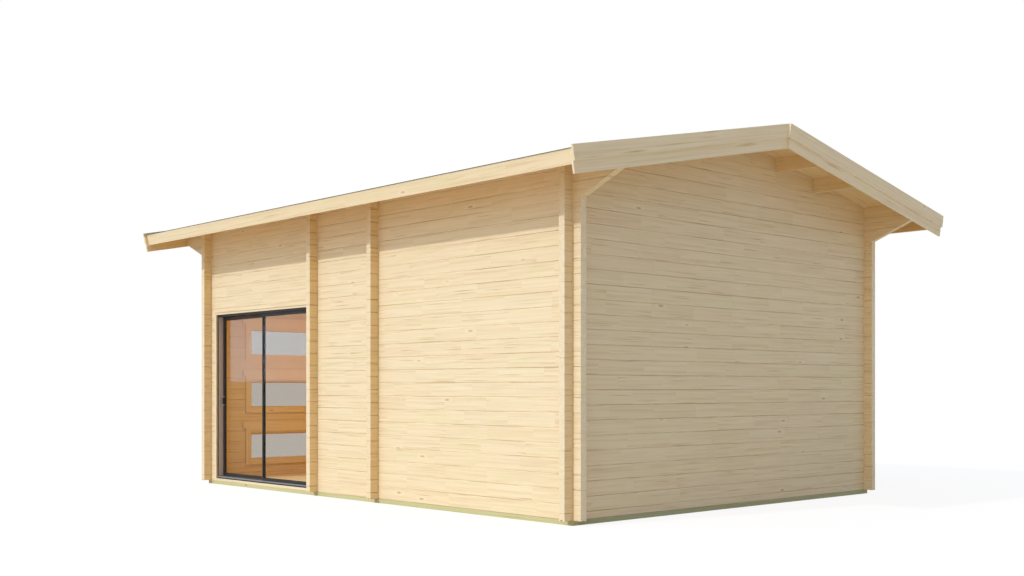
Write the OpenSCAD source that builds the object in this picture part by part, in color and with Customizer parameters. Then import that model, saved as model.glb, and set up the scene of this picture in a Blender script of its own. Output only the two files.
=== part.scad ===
// Log cabin with a low gable roof, a glazed sliding door and two cross walls.
// Millimetres. X runs along the house, -Y is the front, Z is up.
// The origin is at ground level, under the middle of the house.

/* [Walls] */
// Length of the house over its wall faces
wall_l = 6480; // [6000:10:7200]
// Depth of the house over its wall faces
wall_d = 4830; // [4600:10:5200]
// Thickness of a log
log_t = 70; // [60:1:80]
// Height of one course of logs
course = 135; // [130:1:138]
// How far a log runs on past the wall that it crosses
log_end = 100; // [70:5:130]
// Bevel along the long edges of a log
log_bevel = 5; // [2:0.5:8]
// Width of a log's tongue at its foot
tongue_w = 30; // [20:1:40]
// Height of the tongue
tongue_h = 10; // [6:1:15]
// Taper of the tongue on each side
tongue_taper = 2; // [0.5:0.5:4]
// Height of the roof boards' underside at the outer face of a long wall
eaves_h = 3255; // [3160:5:3300]
// Width of the middle room
middle_room_w = 1077; // [950:1:1300]
// Width of the doorway in each cross wall
doorway_w = 900; // [700:10:1100]
// Courses that each cross wall's doorway is high
doorway_courses = 15; // [13:1:16]

/* [Base] */
// Height of the beams that the logs stand on
found_h = 45; // [35:1:70]
// Thickness of the floor boards
floor_t = 19; // [15:1:28]
// Width of a floor joist
joist_w = 45; // [35:1:70]
// Greatest distance between joists
joist_step = 620; // [450:10:700]
// Gap between the floor and the logs
floor_gap = 5; // [2:1:12]

/* [Roof] */
// Slope of the roof in degrees
pitch = 11.5; // [9:0.5:15]
// Distance that the roof runs past the long walls
eave_overhang = 606; // [450:1:700]
// Distance that the front slope runs past the gables
gable_overhang = 594; // [450:1:700]
// Thickness of the roof boards
roof_t = 19; // [15:1:28]
// Thickness of the roofing felt
felt_t = 4; // [3:0.5:8]
// Distance that the felt hangs over the fascia
felt_drip = 8; // [2:1:20]
// Width of the felt strip on each side of the ridge
ridge_strip_w = 150; // [80:5:250]
// Width of a purlin
purlin_w = 45; // [38:1:70]
// Height of a purlin
purlin_h = 145; // [110:1:160]
// Distance from the ridge to the upper purlins
upper_purlin_y = 650; // [550:5:750]
// Distance from the ridge to the lower purlins
lower_purlin_y = 1335; // [1200:5:1450]
// Courses at the top of a long wall that reach out as a bracket
bracket_courses = 3; // [2:1:4]
// Rise of the bracket's slanting edge
bracket_rise = 192; // [150:1:230]

/* [Edge boards] */
// Thickness of the bargeboards and fascias
edge_t = 20; // [15:1:28]
// Distance that the upper bargeboard stands above the roof boards' underside
barge_rise = 45; // [35:1:60]
// Height of the upper bargeboard
barge_upper_h = 132; // [100:1:160]
// Depth of the lower bargeboard below the roof boards
barge_lower_h = 191; // [160:1:220]
// Height of a fascia
fascia_h = 130; // [100:1:150]
// Distance from the end of a bargeboard back to the fascia's face
fascia_set_back = 30; // [10:1:50]

/* [Sliding door] */
// Width of the door opening in the logs
door_w = 2130; // [1800:10:2400]
// Length of the wall inside the left room on each side of the door opening
door_side = 102; // [80:1:250]
// Height of the door opening above the ground
door_head = 2150; // [2080:5:2200]
// Thickness of the lining boards at the sides and the head
lining_t = 20; // [15:1:30]
// Height of the sill board
sill_board_h = 26; // [20:1:40]
// Depth of the door frame
frame_d = 112; // [100:1:130]
// Distance from the wall face back to the door frame
frame_set_back = 18; // [0:1:25]
// Width of the frame's jambs
jamb_w = 30; // [24:1:60]
// Height of the frame's head and threshold
frame_bar_h = 28; // [20:1:45]
// Height of the sloping nose at the threshold's front
nose_h = 14; // [8:1:18]
// Depth of that nose
nose_d = 5; // [2:0.5:5]
// Thickness of a door panel
panel_t = 44; // [28:1:46]
// Width of the sliding panel's stiles, and of the fixed panel's stile that they meet
stile_w = 70; // [50:1:95]
// Width of the fixed panel's stile at the jamb
jamb_stile_w = 22; // [16:1:60]
// Height of a panel's rails
rail_h = 34; // [28:1:60]
// Running gap at the edges of the sliding panel
run_gap = 8; // [6:0.5:12]
// Gap between the two panels
panel_gap = 8; // [5:0.5:10]
// Width of the rails that the sliding panel runs on and is guided by
track_w = 6; // [4:0.5:8]
// Height of those rails
track_h = 4; // [3:0.5:5]
// Width of the bead round a pane
bead_w = 6; // [3:0.5:12]
// Depth of the bead below the panel's face
bead_d = 4; // [2:0.5:8]
// Thickness of the glass
glass_t = 10; // [6:1:16]
// Height of the handle's middle
handle_z = 1047; // [950:1:1150]
// Length of the handle
handle_l = 130; // [100:1:200]
// Diameter of the handle's grip
handle_dia = 14; // [10:1:20]
// Distance from the panel's face to the grip's centre
handle_reach = 26; // [20:1:32]

/* [Gable windows] */
// Courses that one window is high
window_courses = 3; // [2:1:3]
// Courses from one window to the next above it
window_step = 5; // [5:1:5]
// Course of the lowest window
window_first = 1; // [1:1:2]
// Windows above each other
window_rows = 3; // [1:1:3]
// Distance from a corner's wall face to the nearer window opening
window_inset = 535; // [450:5:700]
// Width of the logs between the two windows of a row
window_pier = 400; // [300:10:600]
// Width of a window's frame
window_frame_w = 36; // [28:1:50]
// Width of a casing's upright boards
casing_w = 60; // [44:1:75]
// Height of the rails between the uprights
casing_rail_h = 46; // [36:1:56]
// Height of the head board on top of the uprights
casing_head_h = 85; // [60:1:100]
// How far the head board runs on past the uprights
casing_horn = 40; // [20:1:50]
// Thickness of a casing board
casing_t = 18; // [12:1:24]
// How far a casing laps over the window's frame
casing_lap = 12; // [6:1:20]

/* [Hidden] */
$fn = 48;
fit = 0.4;
glass_groove = 10;
seat_gap = 0.3;
// How far a cut runs on past the face that it goes through
over = 1;
// Share of a course that the top log of a long wall, and of a gable, has at the least
least_top_log = 0.7;
least_peak_log = 0.3;

tan_p = tan(pitch);
cos_p = cos(pitch);
sin_p = sin(pitch);
half_l = wall_l / 2;
half_d = wall_d / 2;
ridge_z = eaves_h + half_d * tan_p;

// Courses. The top log of a long wall takes up what is left below the roof.
long_count = floor((eaves_h - found_h) / course - least_top_log) + 1;
gable_count = floor((ridge_z - found_h - course / 2) / course - least_peak_log) + 1;
bracket_first = long_count - bracket_courses;

// Centre lines of the walls. The left room is as wide as its door needs, the right room takes what is left.
long_y = half_d - log_t / 2;
gable_x = half_l - log_t / 2;
left_room_w = door_w + 2 * door_side;
left_partition_x = -gable_x + log_t + left_room_w;
right_partition_x = left_partition_x + log_t + middle_room_w;
cross_x = [-gable_x, left_partition_x, right_partition_x, gable_x];
room_x = [for (i = [0:2]) [cross_x[i] + log_t / 2, cross_x[i + 1] - log_t / 2]];
purlin_y = [0, upper_purlin_y, lower_purlin_y];

// The back slope is one board longer at each gable: its bargeboards lap over the front ones at the ridge.
back_overhang = gable_overhang + edge_t + fit;
barge_l = (half_d + eave_overhang - barge_rise * sin_p) / cos_p;
roof_board_l = barge_l - fascia_set_back - edge_t;

// Sliding door
wall_face_y = -half_d;
door_x = (room_x[0][0] + room_x[0][1]) / 2;
door_cut = [door_x - door_w / 2, door_x + door_w / 2];
frame_x = [door_cut[0] + lining_t + fit, door_cut[1] - lining_t - fit];
frame_z = [found_h + sill_board_h + fit, door_head - lining_t - fit];
frame_y = wall_face_y + frame_set_back;
fixed_y = frame_y + panel_gap;
slide_y = fixed_y + panel_t + panel_gap;
track_x = [frame_x[0] + jamb_w + fit, frame_x[1] - jamb_w - fit];
track_z = frame_z[0] + frame_bar_h;
guide_z = frame_z[1] - frame_bar_h;
panel_z = [track_z + run_gap, guide_z - run_gap];
slide_x = [frame_x[0] + jamb_w + run_gap, door_x + stile_w / 2];
fixed_x = [door_x - stile_w / 2, frame_x[1] - jamb_w - fit];
fixed_z = [track_z + fit, guide_z - fit];
carriage_l = 60;
carriage_w = 20;
handle_post_dia = 10;
handle_post_inset = 14;
door_courses = floor((door_head - found_h) / course);

// Gable windows
window_y = [[-half_d + window_inset, -window_pier / 2], [window_pier / 2, half_d - window_inset]];
window_courses_cut = [for (r = [0:window_rows - 1]) for (i = [0:window_courses - 1])
    window_first + r * window_step + i];
window_z = [for (r = [0:window_rows - 1]) let (z = gable_z(window_first + r * window_step))
    [z, z + window_courses * course]];

wood = "#f0d9a6";
shade_wood = "#d9b877";
treated_wood = "#a3a679";
metal = "#33383e";
steel = "#9a9da0";
pane = [0.75, 0.8, 0.82, 0.35];
felt = "#45464a";

// Bottom of a course in the long walls, and in the walls that cross them half a course higher
function long_z(k) = found_h + k * course;
function gable_z(k) = found_h + (k + 0.5) * course;
function roof_z(y) = ridge_z - abs(y) * tan_p;
function is_window_course(k) = len([for (c = window_courses_cut) if (c == k) c]) > 0;

// The outline of a log's tongue, or of the groove that takes it, standing at height z
function tongue(half_w, z) = [
    [-half_w, z], [tongue_taper - half_w, z + tongue_h], [half_w - tongue_taper, z + tongue_h], [half_w, z]
];
function reversed(points) = [for (i = [len(points) - 1:-1:0]) points[i]];

// A box between two corners
module block(low, high) {
    translate(low) cube(high - low);
}

// A groove below, a tongue above, and bevels where the logs' faces meet
module log_section(h) {
    t = log_t / 2;
    b = log_bevel;
    polygon(concat(
        [[-t, h - b], [-t, b], [b - t, 0]], tongue(tongue_w / 2 + fit, 0),
        [[t - b, 0], [t, b], [t, h - b], [t - b, h]], reversed(tongue(tongue_w / 2, h)),
        [[b - t, h]]
    ));
}

// A log along X or Y, half a fit short at its top and bottom
module log_along_x(x, y, z, h) {
    translate([x[0], y, z + fit / 2]) rotate([90, 0, 90])
        linear_extrude(x[1] - x[0]) log_section(h - fit);
}

module log_along_y(x, y, z, h) {
    translate([x, y[1], z + fit / 2]) rotate([90, 0, 0])
        linear_extrude(y[1] - y[0]) log_section(h - fit);
}

// The notch that a crossing log lies in, a quarter of a course deep, in the log's top or bottom
module notch(x, y, z) {
    w = log_t / 2 + fit;
    block([x - w, y - w, z[0]], [x + w, y + w, z[1]]);
}

module notches(x, y, z, below, above) {
    deep = course / 4 + fit / 2;
    if (below) notch(x, y, [z - over, z + deep]);
    if (above) notch(x, y, [z + course - deep, z + course + tongue_h + over]);
}

// The space under the roof boards
module under_roof() {
    reach = half_d + eave_overhang;
    low = roof_z(reach) - fit;
    translate([-wall_l, 0, 0]) rotate([90, 0, 90]) linear_extrude(2 * wall_l)
        polygon([[-reach, 0], [reach, 0], [reach, low], [0, ridge_z - fit], [-reach, low]]);
}

// What is cut off below a bracket, from a log's usual end out to the bracket's tip
module bracket_cut(tip) {
    low = long_z(bracket_first);
    for (side = [0, 1]) mirror([side, 0, 0])
        translate([0, wall_d, 0]) rotate([90, 0, 0]) linear_extrude(2 * wall_d)
            polygon([
                [half_l + log_end, low - over], [half_l + log_end, low],
                [half_l + tip, low + bracket_rise],
                [half_l + tip + over, low - over]
            ]);
}

// One log of a long wall, notched at each wall that it crosses
module long_log(k, x, y) {
    top = k == long_count - 1;
    h = top ? eaves_h + log_t * tan_p - long_z(k) : course;
    difference() {
        log_along_x(x, y, long_z(k), h);
        for (c = cross_x) if (c > x[0] && c < x[1]) notches(c, y, long_z(k), true, !top);
        if (top) difference() {
            block([-wall_l, y - log_t, eaves_h - course], [wall_l, y + log_t, ridge_z]);
            under_roof();
        }
    }
}

module full_long_log(k, y, overhang) {
    tip = overhang - 2 * edge_t - fit;
    reach = half_l + (k < bracket_first ? log_end : tip);
    difference() {
        long_log(k, [-reach, reach], y);
        if (k >= bracket_first) bracket_cut(tip);
    }
}

module purlin(y, reach, clear) {
    w = purlin_w / 2 + clear;
    low = roof_z(y) - purlin_h - clear;
    top = clear > 0 ? course : -fit;
    points = y == 0
        ? [[-w, low], [w, low], [w, roof_z(w) + top], [0, ridge_z + top], [-w, roof_z(w) + top]]
        : [[y - w, low], [y + w, low], [y + w, roof_z(y + w) + top], [y - w, roof_z(y - w) + top]];
    translate([-reach, 0, 0]) rotate([90, 0, 90]) linear_extrude(2 * reach) polygon(points);
}

module purlin_pockets() {
    for (y = purlin_y) for (side = [-1, 1]) if (y > 0 || side > 0) purlin(side * y, wall_l, fit);
}

// One log of a gable or a cross wall. Course -1 is the half log at the bottom.
module cross_log(k, x) {
    crossing = k <= long_count - 2;
    reach = crossing ? half_d + log_end : half_d - log_t - fit;
    z = k < 0 ? found_h : gable_z(k);
    h = k < 0 ? course / 2 : (k == gable_count - 1 ? ridge_z - z + course / 4 : course);
    difference() {
        log_along_y(x, [-reach, reach], z, h);
        if (crossing) for (side = [-1, 1]) notches(x, side * long_y, gable_z(k), k >= 0, true);
        if (!crossing) {
            purlin_pockets();
            difference() {
                block([x - log_t, -half_d, z - over], [x + log_t, half_d, ridge_z + course]);
                under_roof();
            }
        }
    }
}

module foundation_long_beams() {
    color(treated_wood) for (y = [-half_d, half_d - log_t])
        block([-half_l, y, 0], [half_l, y + log_t, found_h]);
}

module foundation_cross_beams() {
    reach = half_d - log_t - fit;
    color(treated_wood) for (x = cross_x)
        block([x - log_t / 2, -reach, 0], [x + log_t / 2, reach, found_h]);
}

module floor_joists() {
    reach = half_d - log_t - fit;
    color(treated_wood) for (room = room_x) {
        bays = ceil((room[1] - room[0]) / joist_step);
        for (i = [1:bays - 1]) {
            x = room[0] + i * (room[1] - room[0]) / bays;
            block([x - joist_w / 2, -reach, 0], [x + joist_w / 2, reach, found_h]);
        }
    }
}

module floor_boards(room) {
    reach = half_d - log_t - floor_gap;
    z = [found_h + seat_gap, found_h + floor_t];
    color(wood) block([room[0] + floor_gap, -reach, z[0]], [room[1] - floor_gap, reach, z[1]]);
}

module floor_left_room() {
    floor_boards(room_x[0]);
}

module floor_middle_room() {
    floor_boards(room_x[1]);
}

module floor_right_room() {
    floor_boards(room_x[2]);
}

module doorway_thresholds() {
    w = doorway_w / 2 - fit;
    color(wood) for (x = [left_partition_x, right_partition_x])
        block([x - log_t / 2, -w, found_h + seat_gap], [x + log_t / 2, w, found_h + floor_t]);
}

module front_wall_left_of_door() {
    color(wood) for (k = [0:door_courses - 1]) long_log(k, [-half_l - log_end, door_cut[0]], -long_y);
}

module front_wall_right_of_door() {
    color(wood) for (k = [0:door_courses - 1]) long_log(k, [door_cut[1], half_l + log_end], -long_y);
}

module door_lintel_log() {
    color(wood) difference() {
        full_long_log(door_courses, -long_y, gable_overhang);
        block([door_cut[0], -half_d - over, 0], [door_cut[1], -half_d + log_t + over, door_head]);
    }
}

module front_wall_above_door() {
    color(wood) for (k = [door_courses + 1:long_count - 1]) full_long_log(k, -long_y, gable_overhang);
}

module back_wall() {
    color(wood) for (k = [0:long_count - 1]) full_long_log(k, long_y, back_overhang);
}

module right_gable_wall() {
    color(wood) for (k = [-1:gable_count - 1]) cross_log(k, gable_x);
}

// Cuts a gable log away between the sides of the windows, from height z up, tongue and all
module window_cut(z) {
    for (y = window_y) block([-half_l - over, y[0], z], [-half_l + log_t + over, y[1], z + 2 * course]);
}

// The log below a window has no tongue there.
module left_gable_wall() {
    color(wood) for (k = [-1:gable_count - 1]) if (!is_window_course(k)) difference() {
        cross_log(k, -gable_x);
        if (is_window_course(k + 1)) window_cut(gable_z(k + 1) - fit / 2);
    }
}

module left_gable_window_piers() {
    color(wood) for (k = window_courses_cut) difference() {
        cross_log(k, -gable_x);
        window_cut(gable_z(k) - over);
    }
}

module partition(x) {
    w = doorway_w / 2;
    color(wood) for (k = [-1:gable_count - 1]) difference() {
        cross_log(k, x);
        if (k < doorway_courses) block([x - log_t, -w, 0], [x + log_t, w, gable_z(doorway_courses + 1)]);
    }
}

module left_partition() {
    partition(left_partition_x);
}

module right_partition() {
    partition(right_partition_x);
}

// Boards round the door opening, as deep as the frame they hold, on a sill as deep as the wall
module door_lining() {
    y = [wall_face_y, frame_y + frame_d];
    x = [door_cut[0] + fit, door_cut[1] - fit];
    sill_z = found_h + sill_board_h;
    side_z = [sill_z + fit, door_head - lining_t - fit];
    color(wood) {
        block([x[0], y[0], found_h + seat_gap], [x[1], y[0] + log_t, sill_z]);
        block([x[0], y[0], door_head - lining_t], [x[1], y[1], door_head - fit]);
        block([x[0], y[0], side_z[0]], [door_cut[0] + lining_t, y[1], side_z[1]]);
        block([door_cut[1] - lining_t, y[0], side_z[0]], [x[1], y[1], side_z[1]]);
    }
}

module door_frame_jambs() {
    color(metal) for (x = [frame_x[0], frame_x[1] - jamb_w])
        block([x, frame_y, track_z + fit], [x + jamb_w, frame_y + frame_d, guide_z - fit]);
}

// The rail that the sliding panel runs on or is guided by, made wider and higher for the carriages' grooves
module track(x, z, clear) {
    y = slide_y + panel_t / 2;
    w = track_w / 2 + clear;
    block([x[0], y - w, z[0]], [x[1], y + w, z[1]]);
}

module door_frame_head() {
    color(metal) {
        block([frame_x[0], frame_y, guide_z], [frame_x[1], frame_y + frame_d, frame_z[1]]);
        track(track_x, [guide_z - track_h, guide_z], 0);
    }
}

module door_frame_threshold() {
    z = [frame_z[0], track_z];
    color(metal) {
        translate([frame_x[0], frame_y, 0]) rotate([90, 0, 90]) linear_extrude(frame_x[1] - frame_x[0])
            polygon([[0, z[0]], [frame_d, z[0]], [frame_d, z[1]], [nose_d, z[1]], [0, z[1] - nose_h]]);
        track(track_x, [track_z, track_z + track_h], 0);
    }
}

// A frame round a pane: stiles at its sides, rails above and below, a bead round the pane on both faces,
// and a groove for the glass
module panel_frame(x, y, z, right_stile) {
    hole_x = [x[0] + stile_w, x[1] - right_stile];
    hole_z = [z[0] + rail_h, z[1] - rail_h];
    mid = y + panel_t / 2;
    g = glass_groove;
    b = bead_w;
    difference() {
        block([x[0], y, z[0]], [x[1], y + panel_t, z[1]]);
        block([hole_x[0], y - over, hole_z[0]], [hole_x[1], y + panel_t + over, hole_z[1]]);
        block(
            [hole_x[0] - g, mid - glass_t / 2, hole_z[0] - g],
            [hole_x[1] + g, mid + glass_t / 2, hole_z[1] + g]
        );
        for (face = [[y - over, y + bead_d], [y + panel_t - bead_d, y + panel_t + over]])
            block([hole_x[0] - b, face[0], hole_z[0] - b], [hole_x[1] + b, face[1], hole_z[1] + b]);
    }
}

module panel_glass(x, y, z, right_stile) {
    mid = y + panel_t / 2;
    t = glass_t / 2 - seat_gap;
    held = glass_groove - seat_gap;
    block(
        [x[0] + stile_w - held, mid - t, z[0] + rail_h - held],
        [x[1] - right_stile + held, mid + t, z[1] - rail_h + held]
    );
}

module fixed_panel_frame() {
    color(metal) panel_frame(fixed_x, fixed_y, fixed_z, jamb_stile_w);
}

module fixed_panel_glass() {
    color(pane) panel_glass(fixed_x, fixed_y, fixed_z, jamb_stile_w);
}

module sliding_panel_frame() {
    color(metal) panel_frame(slide_x, slide_y, panel_z, stile_w);
}

module sliding_panel_glass() {
    color(pane) panel_glass(slide_x, slide_y, panel_z, stile_w);
}

// Blocks that carry the sliding panel on the threshold's rail and guide it along the head's
module sliding_panel_carriages() {
    y = slide_y + panel_t / 2;
    color(steel) difference() {
        for (mid = [slide_x[0] + stile_w, slide_x[1] - stile_w])
            for (z = [[track_z + seat_gap, panel_z[0]], [panel_z[1], guide_z - seat_gap]]) {
                x = [mid - carriage_l / 2, mid + carriage_l / 2];
                block([x[0], y - carriage_w / 2, z[0]], [x[1], y + carriage_w / 2, z[1]]);
            }
        for (z = [[track_z, track_z + track_h + seat_gap], [guide_z - track_h - seat_gap, guide_z]])
            track(frame_x, z, seat_gap);
    }
}

module door_handle() {
    color(steel) translate([slide_x[0] + stile_w / 2, slide_y, handle_z]) {
        translate([0, -handle_reach, -handle_l / 2]) cylinder(d = handle_dia, h = handle_l);
        for (z = [-1, 1]) translate([0, 0, z * (handle_l / 2 - handle_post_inset)]) rotate([90, 0, 0])
            cylinder(d = handle_post_dia, h = handle_reach);
    }
}

// Calls its child for each opening in the left gable, with $y and $z as the opening's limits
module each_window() {
    for ($y = window_y) for ($z = window_z) children();
}

module window_frames() {
    w = window_frame_w;
    g = glass_groove;
    mid = -gable_x;
    color(wood) each_window() difference() {
        block([-half_l, $y[0] + fit, $z[0] + fit], [-half_l + log_t, $y[1] - fit, $z[1] - fit]);
        block([-half_l - over, $y[0] + w, $z[0] + w], [-half_l + log_t + over, $y[1] - w, $z[1] - w]);
        block(
            [mid - glass_t / 2, $y[0] + w - g, $z[0] + w - g],
            [mid + glass_t / 2, $y[1] - w + g, $z[1] - w + g]
        );
    }
}

module window_glass() {
    w = window_frame_w - glass_groove + seat_gap;
    t = glass_t / 2 - seat_gap;
    color(pane) each_window()
        block([-gable_x - t, $y[0] + w, $z[0] + w], [-gable_x + t, $y[1] - w, $z[1] - w]);
}

// Boards round a window: two uprights, a rail between them above and below, and a head board with horns
module casing_boards(x) {
    each_window() {
        side = [$y[0] + casing_lap - casing_w, $y[1] - casing_lap];
        rail = [$z[0] + casing_lap - casing_rail_h, $z[1] - casing_lap];
        top = rail[1] + casing_rail_h;
        for (y = side) block([x[0], y, rail[0]], [x[1], y + casing_w, top]);
        for (z = rail)
            block([x[0], side[0] + casing_w + fit, z], [x[1], side[1] - fit, z + casing_rail_h]);
        block(
            [x[0], side[0] - casing_horn, top + seat_gap],
            [x[1], side[1] + casing_w + casing_horn, top + casing_head_h]
        );
    }
}

module window_casings_inside() {
    face = -half_l + log_t + seat_gap;
    color(wood) casing_boards([face, face + casing_t]);
}

module window_casings_outside() {
    face = -half_l - seat_gap;
    color(wood) casing_boards([face - casing_t, face]);
}

module ridge_purlin() {
    color(wood) purlin(0, half_l + gable_overhang - 2 * edge_t - fit, 0);
}

module front_purlins() {
    color(wood) for (y = [upper_purlin_y, lower_purlin_y])
        purlin(-y, half_l + gable_overhang - 2 * edge_t - fit, 0);
}

module back_purlins() {
    color(wood) for (y = [upper_purlin_y, lower_purlin_y])
        purlin(y, half_l + back_overhang - 2 * edge_t - fit, 0);
}

// A layer that lies along a slope, from height z[0] to z[1] above the boards' underside.
// It is square at its lower end, and cut upright at the ridge unless its top is square too.
module slope_layer(x, z, down, square_top = false) {
    ridge = [z[square_top ? 1 : 0] * tan_p - fit, z[1] * tan_p - fit];
    translate([x[0], 0, ridge_z]) rotate([pitch, 0, 0]) rotate([90, 0, 90]) linear_extrude(x[1] - x[0])
        polygon([[-down, z[0]], [ridge[0], z[0]], [ridge[1], z[1]], [-down, z[1]]]);
}

module front_roof_boards() {
    reach = half_l + gable_overhang - edge_t - fit;
    color(wood) slope_layer([-reach, reach], [0, roof_t], roof_board_l);
}

module back_roof_boards() {
    reach = half_l + back_overhang - edge_t - fit;
    color(wood) mirror([0, 1, 0]) slope_layer([-reach, reach], [0, roof_t], roof_board_l);
}

module roof_felt(reach) {
    low = roof_t + seat_gap;
    color(felt) slope_layer([-reach, reach], [low, low + felt_t], roof_board_l + edge_t + felt_drip);
}

module front_roof_felt() {
    roof_felt(half_l + gable_overhang - edge_t - fit);
}

module back_roof_felt() {
    mirror([0, 1, 0]) roof_felt(half_l + back_overhang - edge_t - fit);
}

module ridge_felt_strip() {
    reach = half_l + gable_overhang - edge_t - fit;
    low = roof_t + 2 * seat_gap + felt_t;
    color(felt) for (side = [0, 1]) mirror([0, side, 0])
        slope_layer([-reach, reach], [low, low + felt_t], ridge_strip_w);
}

// A fascia runs between the lower bargeboards of its slope.
module fascia(overhang) {
    reach = half_l + overhang - 2 * (edge_t + fit);
    color(wood) translate([0, 0, ridge_z]) rotate([pitch, 0, 0])
        block([-reach, -roof_board_l - edge_t, roof_t - fascia_h], [reach, -roof_board_l - fit, roof_t]);
}

module front_fascia() {
    fascia(gable_overhang);
}

module back_fascia() {
    mirror([0, 1, 0]) fascia(back_overhang);
}

// A pair of bargeboards, one at each gable, with its outer face at the stated overhang
module bargeboards(overhang, z, square_top = false) {
    for (side = [0, 1]) mirror([side, 0, 0])
        slope_layer([half_l + overhang - edge_t, half_l + overhang], z, barge_l, square_top);
}

module front_upper_bargeboards() {
    color(wood) bargeboards(gable_overhang, [barge_rise - barge_upper_h, barge_rise]);
}

module front_lower_bargeboards() {
    color(shade_wood) bargeboards(gable_overhang - edge_t - fit, [-barge_lower_h, -fit]);
}

module back_upper_bargeboards() {
    color(wood) mirror([0, 1, 0]) bargeboards(back_overhang, [barge_rise - barge_upper_h, barge_rise], true);
}

module back_lower_bargeboards() {
    color(shade_wood) mirror([0, 1, 0]) bargeboards(back_overhang - edge_t - fit, [-barge_lower_h, -fit]);
}

foundation_long_beams();
foundation_cross_beams();
floor_joists();
floor_left_room();
floor_middle_room();
floor_right_room();
doorway_thresholds();
front_wall_left_of_door();
front_wall_right_of_door();
door_lintel_log();
front_wall_above_door();
back_wall();
right_gable_wall();
left_gable_wall();
left_gable_window_piers();
left_partition();
right_partition();
door_lining();
door_frame_jambs();
door_frame_head();
door_frame_threshold();
fixed_panel_frame();
fixed_panel_glass();
sliding_panel_frame();
sliding_panel_glass();
sliding_panel_carriages();
door_handle();
window_frames();
window_glass();
window_casings_inside();
window_casings_outside();
ridge_purlin();
front_purlins();
back_purlins();
front_roof_boards();
back_roof_boards();
front_roof_felt();
back_roof_felt();
ridge_felt_strip();
front_fascia();
back_fascia();
front_upper_bargeboards();
front_lower_bargeboards();
back_upper_bargeboards();
back_lower_bargeboards();
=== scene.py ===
# %% [markdown]
# A log cabin, dressed for its picture.
# The solid pieces come in finished from the workshop model: every log, board and pane is there at its real
# size. This lesson gives each of them its finish, and adds what is too small or too many to carve by hand:
# the roof and floor boards, the felt, the glazing beads and the screws.

# %% Load the frame
import math

import bmesh
import bpy
from mathutils import Matrix, Vector


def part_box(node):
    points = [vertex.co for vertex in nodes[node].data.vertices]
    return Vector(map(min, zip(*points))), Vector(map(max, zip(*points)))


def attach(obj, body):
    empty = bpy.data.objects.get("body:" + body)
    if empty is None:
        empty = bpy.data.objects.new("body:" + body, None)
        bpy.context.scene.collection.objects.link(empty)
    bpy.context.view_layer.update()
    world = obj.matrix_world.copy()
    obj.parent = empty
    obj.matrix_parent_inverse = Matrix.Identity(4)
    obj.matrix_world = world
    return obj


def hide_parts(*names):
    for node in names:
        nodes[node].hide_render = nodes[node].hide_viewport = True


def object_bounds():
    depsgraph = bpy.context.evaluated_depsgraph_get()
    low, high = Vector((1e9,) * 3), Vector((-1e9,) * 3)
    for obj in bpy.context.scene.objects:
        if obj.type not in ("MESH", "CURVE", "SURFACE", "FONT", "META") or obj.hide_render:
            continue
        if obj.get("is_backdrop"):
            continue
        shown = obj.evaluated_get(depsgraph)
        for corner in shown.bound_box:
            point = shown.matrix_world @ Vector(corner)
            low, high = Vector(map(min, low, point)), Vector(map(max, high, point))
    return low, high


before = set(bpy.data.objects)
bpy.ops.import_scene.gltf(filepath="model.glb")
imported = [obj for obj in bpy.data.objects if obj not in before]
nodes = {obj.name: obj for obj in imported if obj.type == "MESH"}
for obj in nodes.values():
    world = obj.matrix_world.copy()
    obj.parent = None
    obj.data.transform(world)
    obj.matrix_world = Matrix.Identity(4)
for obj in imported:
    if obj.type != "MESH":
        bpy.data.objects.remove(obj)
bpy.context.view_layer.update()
scene = bpy.context.scene

# %% [markdown]
# Most places in this lesson follow from a few pieces of the frame. Reading them here, once, keeps the looks
# in step with the model: when a wall moves, its finish and its trim move with it.

# %% Measure the frame
COURSE = 0.135
PITCH = math.radians(11.5)
FIT = 0.0004
RISE = Vector((0, math.cos(PITCH), math.sin(PITCH)))

WALL_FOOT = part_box("foundation_long_beams")[1].z
RIDGE_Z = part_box("ridge_purlin")[1].z + FIT
door_low, door_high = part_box("door_lining")
print("wall foot", round(WALL_FOOT, 4), "ridge", round(RIDGE_Z, 4))
print("door lining", [round(v, 3) for v in (*door_low, *door_high)])

# %% [markdown]
# The camera stands where the photographer stood: at about the height of the door handle, level, and far
# enough off for the roof's edges to run gently together. A level camera with its picture shifted up keeps
# the walls' corners upright, which a tilted one would not.

# %% Camera
CAMERA_PLACE = (10.62, -9.94, 1.209)
CAMERA_TURN = math.radians(47.33)
LENS = 42.22
SHIFT_UP = 0.0977

camera_data = bpy.data.cameras.new("photographer")
camera_data.sensor_fit = "HORIZONTAL"
camera_data.sensor_width = 36
camera_data.lens = LENS
camera_data.shift_y = SHIFT_UP
camera_data.clip_end = 300
camera = bpy.data.objects.new("photographer", camera_data)
camera.location = CAMERA_PLACE
camera.rotation_euler = (math.radians(90), 0, CAMERA_TURN)
scene.collection.objects.link(camera)
scene.camera = camera
print("camera at", CAMERA_PLACE, "lens", LENS)

# %% [markdown]
# Finishes and node-made pieces are both drawn as trees of nodes. Written out by hand they are long and hard
# to read, so one small class wraps a socket: sums on it become Math nodes, and its node method adds any
# other kind.


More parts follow.
